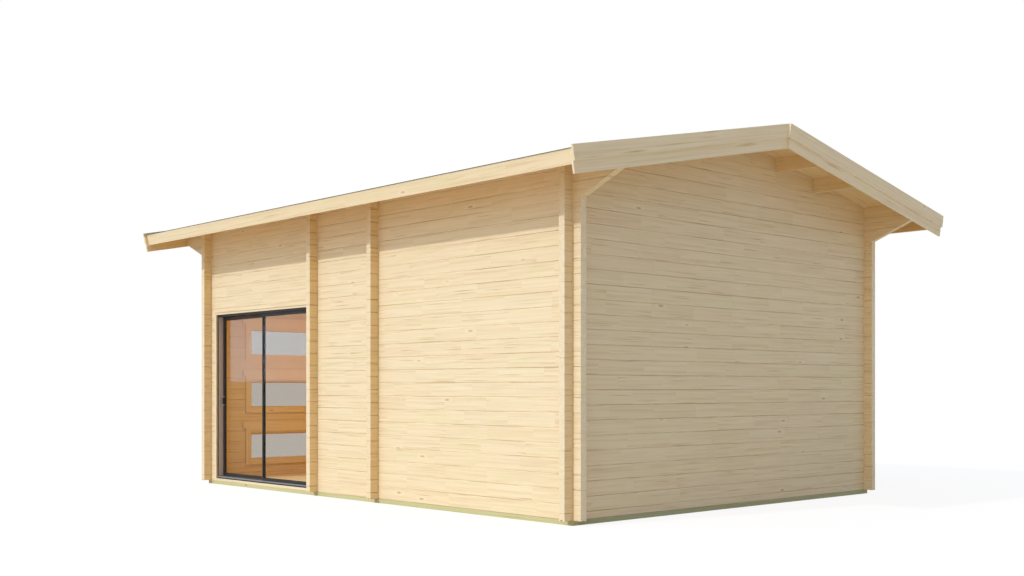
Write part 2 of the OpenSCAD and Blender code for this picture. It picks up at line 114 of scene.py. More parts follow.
# %% A socket that does sums
class Socket:
    """An output in a node tree. Python's operators on it add Math nodes, and node() adds any other node."""

    def __init__(self, tree, output=None):
        self.tree = tree
        self.output = output

    def node(self, kind, inputs=None, output=0, **settings):
        """Adds a node: its settings first, then the values or links of its sockets, by name or number."""
        made = self.tree.nodes.new(kind)
        for name, setting in settings.items():
            setattr(made, name, setting)
        for key, value in (inputs or {}).items():
            if isinstance(value, Socket):
                self.tree.links.new(value.output, made.inputs[key])
            else:
                made.inputs[key].default_value = value
        return Socket(self.tree, made.outputs[output])

    def maths(self, operation, *values):
        return self.node("ShaderNodeMath", dict(enumerate(values)), operation=operation)

    def __add__(self, other):
        return self.maths("ADD", self, other)

    def __sub__(self, other):
        return self.maths("SUBTRACT", self, other)

    def __rsub__(self, other):
        return self.maths("SUBTRACT", other, self)

    def __mul__(self, other):
        return self.maths("MULTIPLY", self, other)

    def __truediv__(self, other):
        return self.maths("DIVIDE", self, other)

    def __pow__(self, other):
        return self.maths("POWER", self, other)

    def floor(self):
        return self.maths("FLOOR", self)

    def abs(self):
        return self.maths("ABSOLUTE", self)

    def sine(self):
        return self.maths("SINE", self)

    def step(self, low, high):
        """0 up to low, 1 from high on, and a smooth rise between them."""
        inputs = {"Value": self, "From Min": low, "From Max": high}
        return self.node("ShaderNodeMapRange", inputs, interpolation_type="SMOOTHSTEP")

    def xyz(self):
        return [self.node("ShaderNodeSeparateXYZ", {0: self}, output=i) for i in range(3)]

    def vector(self, x, y, z):
        return self.node("ShaderNodeCombineXYZ", {0: x, 1: y, 2: z})

    def mix(self, shade, share, blend="MIX"):
        """This colour with a share of another one."""
        inputs = {0: share, 6: self, 7: shade if isinstance(shade, Socket) else (*shade, 1)}
        return self.node("ShaderNodeMix", inputs, output=2, data_type="RGBA", blend_type=blend)

    def noise(self, scale, detail=3.0, wander=0.0):
        """Cloudy values about 0.5 at this place in space, with a scale of its own for each direction."""
        place = self.node("ShaderNodeVectorMath", {0: self, 1: scale}, operation="MULTIPLY")
        inputs = {"Vector": place, "Scale": 1.0, "Detail": detail, "Distortion": wander}
        return self.node("ShaderNodeTexNoise", inputs)

    def dice(self, seed=0.0):
        """Three random values from 0 to 1 that stay the same wherever this vector does."""
        place = self.node("ShaderNodeVectorMath", {0: self, 1: (seed, seed, seed)})
        return self.node("ShaderNodeTexWhiteNoise", {"Vector": place}, output="Color").xyz()

    def spots(self, near, far, share):
        """Soft spots, one in some of the unit cells of this space: full within near, gone at far."""
        reach = self.node("ShaderNodeTexVoronoi", {"Vector": self, "Scale": 1.0})
        luck = self.node("ShaderNodeTexVoronoi", {"Vector": self, "Scale": 1.0}, output="Color").xyz()[0]
        return (1 - reach.step(near, far)) * luck.step(1 - share, 1.02 - share)


def colour(tree, shade):
    """A plain colour as a socket, for mixing others into."""
    made = tree.nodes.new("ShaderNodeRGB")
    made.outputs[0].default_value = (*shade, 1)
    return Socket(tree, made.outputs[0])


def new_finish(name):
    """A material with one Principled shader, and the sockets that say where on the piece a point is."""
    material = bpy.data.materials.new(name)
    material.use_nodes = True
    tree = material.node_tree
    shader = tree.nodes["Principled BSDF"]
    start = Socket(tree)
    place = start.node("ShaderNodeTexCoord", output="Object")
    facing = start.node("ShaderNodeTexCoord", output="Normal")
    return material, shader, place, facing


def feed(shader, name, socket):
    """Links a socket to one of the shader's inputs."""
    socket.tree.links.new(socket.output, shader.inputs[name])


def relief(shader, height, depth, strength=1.0):
    """Raises and lowers the surface by a height from 0 to 1, depth metres at the most."""
    inputs = {"Height": height, "Distance": depth, "Strength": strength}
    feed(shader, "Normal", height.node("ShaderNodeBump", inputs))


print("socket class ready")

# %% [markdown]
# The walls are planed softwood, glued up from short lengths end to end, so one log changes its tint every
# half metre or so. Close by there is fine straight grain, a few resin streaks and small knots. A painted
# picture of wood would repeat and stretch, so the wood is worked out at each point from where it lies in
# the log: how far along the grain, how far up the face, and which log and which length it belongs to. The
# joints between logs are tight in some stretches and open in others, so their dark line comes and goes;
# along the tight stretches a paler line is painted, a painted highlight over the groove's shade.
# The picture's shade is warmer, under the eaves and indoors, than plain bounced light makes it. So for
# light that goes on from one log to the next the wood is given a deeper colour. That is a liberty taken for
# the picture: what the camera sees directly keeps its own colour.

# %% Planed softwood
PALE = (0.815, 0.706, 0.492)
HONEY = (0.775, 0.625, 0.375)
ROSY = (0.825, 0.675, 0.465)
BRIGHT = (0.900, 0.805, 0.610)
# A paler line painted along tight joints: painted light.
JOINT_PAINTED_LIGHT = (0.930, 0.880, 0.770)
GREENISH = (0.790, 0.705, 0.440)
STREAK = (0.540, 0.375, 0.185)
JOINT = (0.360, 0.260, 0.150)
KNOT = (0.480, 0.265, 0.085)
END_RING = (0.600, 0.440, 0.245)
DEEP = (1.10, 0.84, 0.27)


def softwood(name, grain, length=0.62, row=None, joint=None, mark=(0.0, 0.5), tint=None, depth=0.0012,
             rough=0.56, variety=1.0, deep=DEEP, under=None):
    """Planed softwood. grain(x, y, z) gives each point's place along, across and through the wood; row gives
    the number of its log or board, joint how far it is from the edge of that, in metres, and mark how dark
    that edge is where it is tight and where it is open; where it is tight a paler line is also painted, a
    painted highlight. variety says how much one length differs from the next, and under is a paler colour
    painted on faces that point down: painted light over their shade."""
    material, shader, place, facing = new_finish(name)
    x, y, z = place.xyz()
    along, across, through = grain(x, y, z)
    number = row(x, y, z) if row else along * 0
    shift = place.vector(number, 0.5, 0.5).dice()[0]
    piece = (along / length + shift * 9).floor() if length else number * 0
    r, g, b = place.vector(number, piece, 0.5).dice(3.7)
    wood = place.vector(along + r * 37, across + g * 11, through + b * 5)

    clouds = wood.noise((0.7, 16, 9), 3, 0.6)
    fibres = wood.noise((5, 260, 180), 3)
    lines = wood.noise((0.8, 48, 30), 2, 0.3)
    patches = place.vector(along, across, through + number * 2.3).noise((1.9, 6, 6), 2)
    streaks = wood.noise((1.3, 62, 40), 2, 0.4).step(0.56, 0.76)
    rings = (across * 640 + clouds * 34 + g * 20).sine().step(0.35, 1.0)
    wavy = across + clouds * 0.05
    dashes = place.vector(along * 1.8 + r * 7, wavy * 72, number).spots(0.04, 0.44, 0.19)
    knot_place = place.vector(along * 2.6, across * 8.5, number * 3)
    knots = knot_place.spots(0.03, 0.15, 0.24)
    halos = knot_place.spots(0.12, 0.30, 0.24)

    shade = colour(material.node_tree, PALE)
    shade = shade.mix(HONEY, r.step(0.35, 1.0) * (0.18 * variety))
    shade = shade.mix(ROSY, g.step(0.5, 1.0) * (0.26 * variety))
    shade = shade.mix(GREENISH, patches.step(0.50, 0.68) * 0.50)
    shade = shade.mix(ROSY, (1 - patches.step(0.32, 0.50)) * 0.25)
    shade = shade.mix(STREAK, (clouds - 0.42) * 0.26)
    shade = shade.mix(STREAK, (lines - 0.5) * 1.1)
    shade = shade.mix(BRIGHT, (0.5 - lines) * 1.4)
    shade = shade.mix(STREAK, streaks * (b * 0.30 + 0.08))
    shade = shade.mix(STREAK, rings * 0.07)
    shade = shade.mix(STREAK, dashes * (fibres + 0.25))
    shade = shade.mix(BRIGHT, halos * 0.35)
    shade = shade.mix(KNOT, knots * (fibres * 0.8 + 0.3))
    if joint:
        near = 1 - joint(x, y, z).step(0.0015, 0.0050)
        uneven = place.vector(along * 1.4, number * 7.7, 0.5).noise((1, 1, 1), 2).step(0.42, 0.62)
        tight, wide = mark
        # Where the joint is tight it is painted paler: a painted highlight over the groove's shade.
        shade = shade.mix(JOINT_PAINTED_LIGHT, near * (1 - uneven) * (0.7 - tight))
        shade = shade.mix(JOINT, near * (uneven * (wide - tight) + tight))
    ends = grain(*facing.xyz())[0].abs().step(0.75, 0.9)
    pith = place.vector(across, through * 1.2 - 0.05, number * 3.1)
    growth = pith.node("ShaderNodeVectorMath", {0: pith}, output="Value", operation="LENGTH")
    # The faces that end a log are painted paler all over: painted light on those faces.
    shade = shade.mix(BRIGHT, ends * 0.30)
    shade = shade.mix(END_RING, ends * (growth * 900).sine().step(-0.2, 1.0) * 0.10)
    # Faces that point down are painted paler: painted light over their shade.
    if under:
        shade = shade.mix(under, (facing.xyz()[2] * -1).step(0.6, 0.9))
    if tint:
        shade = shade.mix(tint, 1.0, "MULTIPLY")
    if deep:
        thrown = place.node("ShaderNodeLightPath", output="Is Diffuse Ray")
        shade = shade.mix(deep, thrown, "MULTIPLY")
    feed(shader, "Base Color", shade)
    feed(shader, "Roughness", fibres * 0.16 + (rough - 0.08))
    shader.inputs["Specular IOR Level"].default_value = 0.32
    relief(shader, fibres * 0.6 + rings * 0.4, depth, 0.35)
    return material


print("softwood ready, pale colour", PALE)

# %% [markdown]
# A finish has to know which way the grain runs and which course of logs a point lies in. These helpers work
# both out from where the point is, and the last one puts a finish on pieces of the frame.


# %% Directions and courses
def along_x(x, y, z):
    return x, z, y


def along_y(x, y, z):
    return y, z, x


def course_from(foot):
    """The number of the course that a height lies in, where one starts at foot."""
    return lambda x, y, z: ((z - foot) / COURSE).floor()


def course_edge(foot):
    """The distance from a height to the nearest joint between courses."""
    return lambda x, y, z: ((z - foot) / COURSE - ((z - foot) / COURSE + 0.5).floor()).abs() * COURSE


def dress(material, *names):
    """Gives a finish to whole pieces of the frame."""
    for name in names:
        nodes[name].data.materials.clear()
        nodes[name].data.materials.append(material)
    print(material.name, "on", ", ".join(names))


print("a course of logs is", COURSE, "metres high")

# %% [markdown]
# Logs of the long walls lie along the house, and their joints start at the foundation. The walls that cross
# them start half a course higher, so that the logs lock into each other at the corners. The finishes differ
# in which way the grain runs, where the courses start, a slight tint, and how dark the joints are: on the
# short ends of the inner walls, which reach out through the front, they are the darkest.

# %% Log walls
long_foot = WALL_FOOT
cross_foot = WALL_FOOT + COURSE / 2
CROSS_TINT = (0.960, 0.955, 0.940)
cross_joint = course_edge(cross_foot)
long_logs = softwood("planed logs lengthwise", along_x, row=course_from(long_foot),
                     joint=course_edge(long_foot), mark=(0.0, 0.45))
cross_logs = softwood("planed logs crosswise", along_y, row=course_from(cross_foot), joint=cross_joint,
                      mark=(0.06, 0.48), tint=CROSS_TINT)
stub_logs = softwood("log ends of the inner walls", along_y, row=course_from(cross_foot), joint=cross_joint,
                     mark=(0.40, 0.95), tint=CROSS_TINT)
dress(long_logs, "front_wall_left_of_door", "front_wall_right_of_door", "front_wall_above_door", "back_wall")
dress(cross_logs, "right_gable_wall", "left_gable_wall", "left_gable_window_piers")
dress(stub_logs, "left_partition", "right_partition")

# %% [markdown]
# Logs settle as they dry, so a door's lining is not nailed to the log above it: a narrow slot is left
# between them. The slot itself is not modelled: its shade is painted as a dark line over the door, on the
# lower edge of that log.

# %% The log over the door
SLOT_SHARE = 0.40
door_middle = (door_low.x + door_high.x) / 2
door_half = (door_high.x - door_low.x) / 2


def from_slot(x, y, z):
    beside = (x - door_middle).abs() - door_half
    return beside.maths("MAXIMUM", beside, (z - door_high.z).abs()) * SLOT_SHARE


# The dark line that mark gives here is the slot's painted shade.
lintel_log = softwood("log over the door", along_x, row=course_from(long_foot), joint=from_slot,
                      mark=(0.7, 0.85))
dress(lintel_log, "door_lintel_log")

# %% [markdown]
# The beams on the ground and the joists between them are pressure-treated, which leaves softwood a dull
# yellow-green. It is the same wood with a tint over it and a rougher, sawn face. The cross beams, which show
# at the shaded gable, and the joists get a darker tint: painted shade.

# %% Treated beams
TREATED = (0.68, 0.79, 0.64)
# A darker tint for the crosswise beams and the joists: painted shade.
TREATED_SHADE_SIDE = (0.54, 0.66, 0.56)
treated_x = softwood("treated beams lengthwise", along_x, length=None, tint=TREATED, depth=0.002, rough=0.75)
treated_y = softwood("treated beams crosswise", along_y, length=None, tint=TREATED_SHADE_SIDE, depth=0.002,
                     rough=0.75, row=lambda x, y, z: (x * 5).floor())
dress(treated_x, "foundation_long_beams")
dress(treated_y, "foundation_cross_beams", "floor_joists")

# %% [markdown]
# The bargeboards on the gables follow the slope, so their grain does too. The slope's direction turns the
# place of a point into how far it lies up the board and across it; the back slope mirrors the front one.


# %% Edge boards and purlins
def up_slope(side):
    """Grain that runs up a slope: side is 1 for the front, which rises towards +Y, and -1 for the back."""
    return lambda x, y, z: (y * RISE.y + z * (side * RISE.z), z * RISE.y - y * (side * RISE.z), x)


def by_end(x, y, z):
    return (x * 3).floor()


# The paler colour painted on the bargeboards' undersides: painted light over their shade.
UNDERSIDE_PAINTED_LIGHT = (0.95, 0.89, 0.78)
BARGE_TINT = (1.0, 0.975, 0.950)
EDGE_TINT = (1.0, 0.970, 0.935)
SLOPES = ((1, "front"), (-1, "back"))
for side, where in SLOPES:
    barge = softwood(where + " bargeboards", up_slope(side), length=None, row=by_end, tint=BARGE_TINT,
                     deep=None, under=UNDERSIDE_PAINTED_LIGHT)
    dress(barge, where + "_upper_bargeboards", where + "_lower_bargeboards")
edge_boards = softwood("boards along the eaves", along_x, length=2.4, row=lambda x, y, z: (y * 2).floor(),
                       tint=EDGE_TINT)
dress(edge_boards, "front_fascia", "back_fascia", "ridge_purlin", "front_purlins", "back_purlins",
      "doorway_thresholds")

# %% [markdown]
# Linings and casings are frames of boards: the level ones have their grain along, the upright ones have it
# up. A mask that is 1 on the level boards picks the right direction, so one finish serves the whole frame.

# %% Linings, casings and window frames
LINING_T = 0.020
DOOR_CLEAR = door_half - LINING_T


def lining_grain(x, y, z):
    level = 1 - (x - door_middle).abs().step(DOOR_CLEAR - 0.001, DOOR_CLEAR + 0.001)
    return z + (x - z) * level, x + (z - x) * level, y


panes = nodes["window_glass"].data.vertices
pane_y = sorted({round(v.co.y, 4) for v in panes})
pane_z = sorted({round(v.co.z, 4) for v in panes})
HELD = 0.0097
HOLE_W = pane_y[1] - pane_y[0] - 2 * HELD
HOLE_H = pane_z[1] - pane_z[0] - 2 * HELD
WINDOWS_APART = (pane_y[2] - pane_y[0], pane_z[2] - pane_z[0])
WINDOWS_MIDDLE = ((pane_y[0] + pane_y[-1]) / 2, (pane_z[0] + pane_z[-1]) / 2)
FRAME_W = 0.036
CASING_LAP = 0.012
CASING_W = 0.060
OPENING_W = HOLE_W + 2 * FRAME_W
OPENING_H = HOLE_H + 2 * FRAME_W
RAIL_REACH = OPENING_H / 2 + 0.034


def casing_grain(x, y, z):
    """Uprights stand outside the opening's sides, from the lower rail to the upper; the rest lies level."""
    out = ((y - WINDOWS_MIDDLE[0]).abs() - WINDOWS_APART[0] / 2).abs() - (OPENING_W / 2 - CASING_LAP)
    turn = (z - WINDOWS_MIDDLE[1]) / WINDOWS_APART[1]
    high = (turn - (turn + 0.42).floor()) * WINDOWS_APART[1]
    upright = out.step(-0.0005, 0.0005) * (1 - high.step(RAIL_REACH - 0.0002, RAIL_REACH + 0.0002))
    return y + (z - y) * upright, z + (y - z) * upright, x


def frame_grain(x, y, z):
    """The sides of a window's own frame run from top to bottom, and the rails lie between them."""
    out = ((y - WINDOWS_MIDDLE[0]).abs() - WINDOWS_APART[0] / 2).abs() - HOLE_W / 2
    upright = out.step(-0.0005, 0.0005)
    return y + (z - y) * upright, z + (y - z) * upright, x


dress(softwood("door lining", lining_grain, length=None), "door_lining")
dress(softwood("window casings", casing_grain, length=None, row=by_end), "window_casings_inside",
      "window_casings_outside")
frame_wood = softwood("window frames", frame_grain, length=None, row=by_end)
dress(frame_wood, "window_frames")
print("window holes", round(HOLE_W, 4), "by", round(HOLE_H, 4), "apart", WINDOWS_APART)

# %% [markdown]
# Some pieces repeat a simple shape many times: boards side by side, a bead round each pane, a row of
# screws. Each kind gets one Geometry Nodes tree with named inputs for its sizes. The tree runs on an empty
# host object, its result is kept as a plain mesh, and the host is thrown away.

# %% Trees that make what repeats
FLOAT = "NodeSocketFloat"
INT = "NodeSocketInt"
MATERIAL = "NodeSocketMaterial"


def new_tree(name, **inputs):
    """A Geometry Nodes tree with named inputs, and those inputs as sockets."""
    tree = bpy.data.node_groups.new(name, "GeometryNodeTree")
    tree.interface.new_socket("Geometry", in_out="OUTPUT", socket_type="NodeSocketGeometry")
    for label, kind in inputs.items():
        tree.interface.new_socket(label, in_out="INPUT", socket_type=kind)
    entry = tree.nodes.new("NodeGroupInput")
    return tree, {label: Socket(tree, entry.outputs[label]) for label in inputs}


def end_tree(shape, finish):
    """The end of a tree: every copy made real, and its finish set."""
    real = shape.node("GeometryNodeRealizeInstances", {"Geometry": shape})
    done = real.node("GeometryNodeSetMaterial", {"Geometry": real, "Material": finish})
    way_out = shape.tree.nodes.new("NodeGroupOutput")
    shape.tree.links.new(done.output, way_out.inputs["Geometry"])


def line_of_points(start, count, step, axis):
    """Points in a row along one axis, centred on the origin."""
    first = [0, 0, 0]
    offset = [0, 0, 0]
    first[axis] = step * (count * -0.5 + 0.5)
    offset[axis] = step
    inputs = {"Count": count, "Start Location": start.vector(*first), "Offset": start.vector(*offset)}
    return start.node("GeometryNodeMeshLine", inputs)


def on_grid(start, shape, size):
    """A shape set out in columns and rows about the origin."""
    column = line_of_points(start, size["Columns"], size["Across"], 0)
    row = line_of_points(start, size["Rows"], size["Up"], 1)
    grid = start.node("GeometryNodeInstanceOnPoints", {"Points": column, "Instance": row})
    grid = start.node("GeometryNodeRealizeInstances", {"Geometry": grid})
    return start.node("GeometryNodeInstanceOnPoints", {"Points": grid, "Instance": shape})


def grow(name, tree, places, body, slot, replaced=(), **sizes):
    """Runs a tree with these sizes and sets a copy of what it makes at each place, as one piece on a body."""
    host = bpy.data.objects.new("host", bpy.data.meshes.new("host"))
    scene.collection.objects.link(host)
    modifier = host.modifiers.new("make", "NODES")
    modifier.node_group = tree
    for item in tree.interface.items_tree:
        if item.in_out == "INPUT":
            modifier[item.identifier] = sizes[item.name]
    graph = bpy.context.evaluated_depsgraph_get()
    made = bpy.data.meshes.new_from_object(host.evaluated_get(graph))
    bpy.data.objects.remove(host)
    gathered = bmesh.new()
    for place in places:
        copy = made.copy()
        copy.transform(place)
        gathered.from_mesh(copy)
        bpy.data.meshes.remove(copy)
    gathered.to_mesh(made)
    gathered.free()
    made.name = name
    piece = bpy.data.objects.new(name, made)
    scene.collection.objects.link(piece)
    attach(piece, body)
    if replaced:
        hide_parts(*replaced)
    print(name, "faces", len(made.polygons))
    return piece


def stand(x_axis, z_axis, origin):
    """A place whose local X and Z point these ways."""
    x_axis = Vector(x_axis).normalized()
    z_axis = Vector(z_axis).normalized()
    place = Matrix((x_axis, z_axis.cross(x_axis), z_axis)).transposed().to_4x4()
    place.translation = origin
    return place


print("trees take", FLOAT, INT, MATERIAL)

# %% [markdown]
# A board here is a rectangle with its corners cut off, drawn out along a line. Side by side, the cut
# corners make the V joints that show under the eaves and on the floor. Its faces are shaded flat: smooth
# shading would carry the turn of a narrow corner over the whole board, and a wide one would look like a
# pillow.

# %% The tree for boards
boards_tree, size = new_tree("boards side by side", Count=INT, Spacing=FLOAT, Length=FLOAT, Width=FLOAT,
                             Thickness=FLOAT, Chamfer=FLOAT, Lean=FLOAT, Finish=MATERIAL)
start = Socket(boards_tree)
outline = start.node("GeometryNodeCurvePrimitiveQuadrilateral",
                     {"Width": size["Width"], "Height": size["Thickness"]})
outline = start.node("GeometryNodeFilletCurve", {"Curve": outline, "Count": 1, "Radius": size["Chamfer"]},
                     mode="POLY")
run = start.node("GeometryNodeCurvePrimitiveLine", {"End": start.vector(0, size["Length"], 0)})
run = start.node("GeometryNodeSetCurveNormal", {"Curve": run}, mode="Z_UP")
board = start.node("GeometryNodeCurveToMesh", {"Curve": run, "Profile Curve": outline, "Fill Caps": True})
board = start.node("GeometryNodeSetShadeSmooth", {"Geometry": board, "Shade Smooth": False})
row = line_of_points(start, size["Count"], size["Spacing"], 0)
boards = start.node("GeometryNodeInstanceOnPoints",
                    {"Points": row, "Instance": board, "Rotation": start.vector(0, size["Lean"], 0)})
end_tree(boards, size["Finish"])
print("boards tree has", len(boards_tree.nodes), "nodes")

# %% [markdown]
# The roof boards run from the ridge to the eaves, and their undersides show under the overhangs. They lie
# in the space of the plain sheets that stand for them in the model.

# %% Roof boards
BOARD_W = 0.0953
ROOF_T = 0.019
ROOF_CHAMFER = 0.0025
# A warmer, darker tint for the roof boards, which show only as the soffit in shade: painted warm shade.
ROOF_SHADE_TINT = (1.0, 0.95, 0.86)


def downhill(side):
    """The way down a slope: side is 1 in front and -1 behind."""
    return Vector((0, -side * RISE.y, -RISE.z))


def off_slope(side):
    """The way straight out of a slope."""
    return Vector((0, -side * RISE.z, RISE.y))


def on_slope(side, x, down, lift):
    """A point on a slope, by its distance down from the ridge and its height over the boards' underside."""
    return Vector((x, 0, RIDGE_Z)) + downhill(side) * down + off_slope(side) * lift


def slope_length(node, lift):
    """How far a sheet that lies on a slope runs down from the ridge; lift is the height of its top."""
    low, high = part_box(node)
    return (max(-low.y, high.y) - lift * RISE.z) / RISE.y


def down_board(side):
    """Grain of a roof board: it runs up the slope, and across it goes the house's length."""
    return lambda x, y, z: (y * RISE.y + z * (side * RISE.z), x, z * RISE.y - y * (side * RISE.z))


for side, where in SLOPES:
    sheet = where + "_roof_boards"
    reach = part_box(sheet)[1].x
    count = round(2 * reach / BOARD_W)
    spacing = 2 * reach / count
    wood = softwood("roof boards " + where, down_board(side), length=None, tint=ROOF_SHADE_TINT, variety=0.3,
                    row=lambda x, y, z: ((x + reach) / spacing).floor())
    place = stand((-side, 0, 0), off_slope(side), on_slope(side, 0, FIT, ROOF_T / 2))
    grow("roof_boards_" + where, boards_tree, [place], "house", "trim_wood", [sheet],
         Count=count, Spacing=spacing, Length=slope_length(sheet, ROOF_T) - FIT, Width=spacing - FIT,
         Thickness=ROOF_T, Chamfer=ROOF_CHAMFER, Lean=0.0, Finish=wood)

# %% [markdown]
# The floor boards cross the joists, so they run along the house. The same tree makes them, turned a
# quarter.

# %% Floor boards
FLOOR_BOARD_W = 0.095
FLOOR_CHAMFER = 0.002
FLOOR_TINT = (1.0, 0.96, 0.88)

for room in ("left", "middle", "right"):
    sheet = "floor_" + room + "_room"
    low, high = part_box(sheet)
    count = round((high.y - low.y) / FLOOR_BOARD_W)
    spacing = (high.y - low.y) / count
    wood = softwood("floor boards " + room, lambda x, y, z: (x, y, z), length=1.9, tint=FLOOR_TINT,
                    rough=0.46, row=lambda x, y, z: ((y - low.y) / spacing).floor())
    place = stand((0, 1, 0), (0, 0, 1), Vector((high.x, (low.y + high.y) / 2, (low.z + high.z) / 2)))
    grow("floor_boards_" + room, boards_tree, [place], "house", "floor_wood", [sheet],
         Count=count, Spacing=spacing, Length=high.x - low.x, Width=spacing - FIT, Thickness=high.z - low.z,
         Chamfer=FLOOR_CHAMFER, Lean=0.0, Finish=wood)

# %% [markdown]
# Roofing felt is bitumen with crushed slate pressed into it. From any distance it is a dark, dull grey;
# close by each grain has its own grey. It is laid in runs along the roof, each one lapping over the run
# below it, so the tree for boards makes it too: thin, wide boards that lean a little. Each run comes from
# another roll, so its grey differs a little. Under each lap a dark line is painted: painted shade below the
# lap's edge.

# %% Roofing felt
FELT_LOW = ROOF_T + 0.0003
FELT_T = 0.004
RUN_T = 0.0018
RUN_CHAMFER = 0.0004
RUNS = 4
RUN_LAP = 0.080
NAIL_INSET = 0.030
# Where the painted shade below each lap begins and ends.
LAP_SHADE_LINE = (0.004, 0.018)
felt_l = slope_length("front_roof_felt", FELT_LOW + FELT_T)
run_w = (felt_l - FIT + (RUNS - 1) * RUN_LAP) / RUNS
run_step = run_w - RUN_LAP


def slate_felt(name):
    material, shader, place, _ = new_finish(name)
    down = (place.xyz()[1].abs() - RISE.z * (FELT_LOW + FELT_T)) / RISE.y
    turn = (down - (run_w + FIT)) / run_step
    run = turn.floor()
    roll = place.vector(run, 0.5, 0.5).dice(1.3)[0]
    # A dark line just below each lap's edge: painted shade.
    painted_lap_shade = 1 - ((turn - run) * run_step).step(*LAP_SHADE_LINE)
    grains = place.node("ShaderNodeTexVoronoi", {"Vector": place, "Scale": 420.0}, output="Color").xyz()[0]
    patches = place.noise((1.6, 2.4, 2.4), 4).step(0.3, 0.75)
    shade = colour(material.node_tree, (0.050, 0.052, 0.056)).mix((0.160, 0.160, 0.165), grains * 0.6)
    shade = shade.mix((0.030, 0.030, 0.030), patches * 0.35)
    shade = shade.mix((0.150, 0.150, 0.155), roll * 0.28)
    shade = shade.mix((0.012, 0.012, 0.012), painted_lap_shade * 0.75)
    feed(shader, "Base Color", shade)
    feed(shader, "Roughness", grains * 0.1 + 0.82)
    relief(shader, grains, 0.0012, 0.6)
    return material


felt = slate_felt("slate felt")
dress(felt, "ridge_felt_strip")
lean = math.asin((FELT_T - RUN_T) / run_w)
nail_places = []

for side, where in SLOPES:
    sheet = where + "_roof_felt"
    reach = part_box(sheet)[1].x
    middle = on_slope(side, -side * reach, (felt_l + FIT) / 2, FELT_LOW + FELT_T / 2)
    place = stand(downhill(side), off_slope(side), middle)
    grow("roof_felt_" + where, boards_tree, [place], "house", "roof_felt", [sheet],
         Count=RUNS, Spacing=run_step, Length=2 * reach, Width=run_w, Thickness=RUN_T, Chamfer=RUN_CHAMFER,
         Lean=-lean, Finish=felt)
    low_edge = on_slope(side, 0, (felt_l + FIT + run_w) / 2 - NAIL_INSET, FELT_LOW + FELT_T)
    nail_places.append(stand(downhill(side), off_slope(side), low_edge))

# %% [markdown]
# The door's frame and panels are powder-coated aluminium in a near-black grey: not a mirror and not chalk,
# with a very fine orange-peel texture that breaks up its highlights. The sides of the jambs and the top of
# the threshold are bare metal, painted lighter: a painted reflection of warm light on the jambs' sides, and
# a painted highlight on the threshold's top.

# %% Door metal
COAT = (0.016, 0.0155, 0.016)
# Bare metal colours with painted light in them: a painted reflection on the jambs, a painted highlight on the
# threshold.
BARE_JAMB_AND_REFLECTION = (0.62, 0.52, 0.45)
BARE_THRESHOLD_AND_HIGHLIGHT = (0.22, 0.25, 0.25)
EDGE_ROUND = 0.0015
WELD_UNDER = 0.00005
SHARP = math.radians(35)


def powder_coat(name, bare=None, bare_where=None):
    """Coated metal. bare_where turns the facing of a point into a mask of where the coat is left off and the
    bare colour, which carries painted light, is used.
    """
    material, shader, place, facing = new_finish(name)
    peel = place.noise((900, 900, 900), 2)
    dust = place.noise((6, 6, 2.5), 4).step(0.45, 0.75)
    shade = colour(material.node_tree, COAT).mix((0.060, 0.060, 0.060), dust * 0.18)
    if bare_where:
        scuffs = place.noise((4, 60, 60), 3)
        # The bare colour here carries painted light: a reflection or a highlight.
        bare_and_painted_light = colour(material.node_tree, bare).mix([0.6 * v for v in bare], scuffs * 0.6)
        shade = shade.mix(bare_and_painted_light, bare_where(*facing.xyz()))
    feed(shader, "Base Color", shade)
    feed(shader, "Roughness", dust * 0.12 + 0.38)
    shader.inputs["Specular IOR Level"].default_value = 0.25
    relief(shader, peel, 0.0004, 0.25)
    return material


def soften(*names):
    """Rounds the sharp edges of whole pieces a little, so that they catch the light."""
    for name in names:
        weld = nodes[name].modifiers.new("weld", "WELD")
        weld.merge_threshold = WELD_UNDER
        edge = nodes[name].modifiers.new("edges", "BEVEL")
        edge.width = EDGE_ROUND
        edge.segments = 2
        edge.limit_method = "ANGLE"
        edge.angle_limit = SHARP


coat = powder_coat("anthracite powder coat")
dress(coat, "door_frame_head")
jamb_coat = powder_coat("coated jambs", BARE_JAMB_AND_REFLECTION, lambda x, y, z: x.abs().step(0.6, 0.8))
dress(jamb_coat, "door_frame_jambs")
threshold_coat = powder_coat("coated threshold", BARE_THRESHOLD_AND_HIGHLIGHT, lambda x, y, z: z.step(0.2, 0.35))
dress(threshold_coat, "door_frame_threshold")
soften("door_frame_head", "door_frame_jambs", "door_frame_threshold")

# %% [markdown]
# The handle and the carriages of the sliding panel are brushed steel, marked by fine lines that run
# upright. The handle's grip is darker. Screws and nails are plated with zinc, which is paler and has lines
# in no direction.

# %% Steel and zinc
BRUSHED_UP = (900, 900, 40)
HANDLE_FOOT = 0.022


def brushed(name, shade, direction, dark_where=None):
    """Bare metal with brush lines: direction scales their noise, and dark_where masks what is blackened."""
    material, shader, place, _ = new_finish(name)
    lines = place.noise(direction, 2)
    metal = colour(material.node_tree, shade)
    metal = metal.mix([0.3 * v for v in shade], lines * 0.5)
    if dark_where:
        metal = metal.mix((0.085, 0.095, 0.105), dark_where(*place.xyz()))
    feed(shader, "Base Color", metal)
    feed(shader, "Roughness", lines * 0.2 + 0.26)
    shader.inputs["Metallic"].default_value = 1.0
    relief(shader, lines, 0.0002, 0.3)
    return material


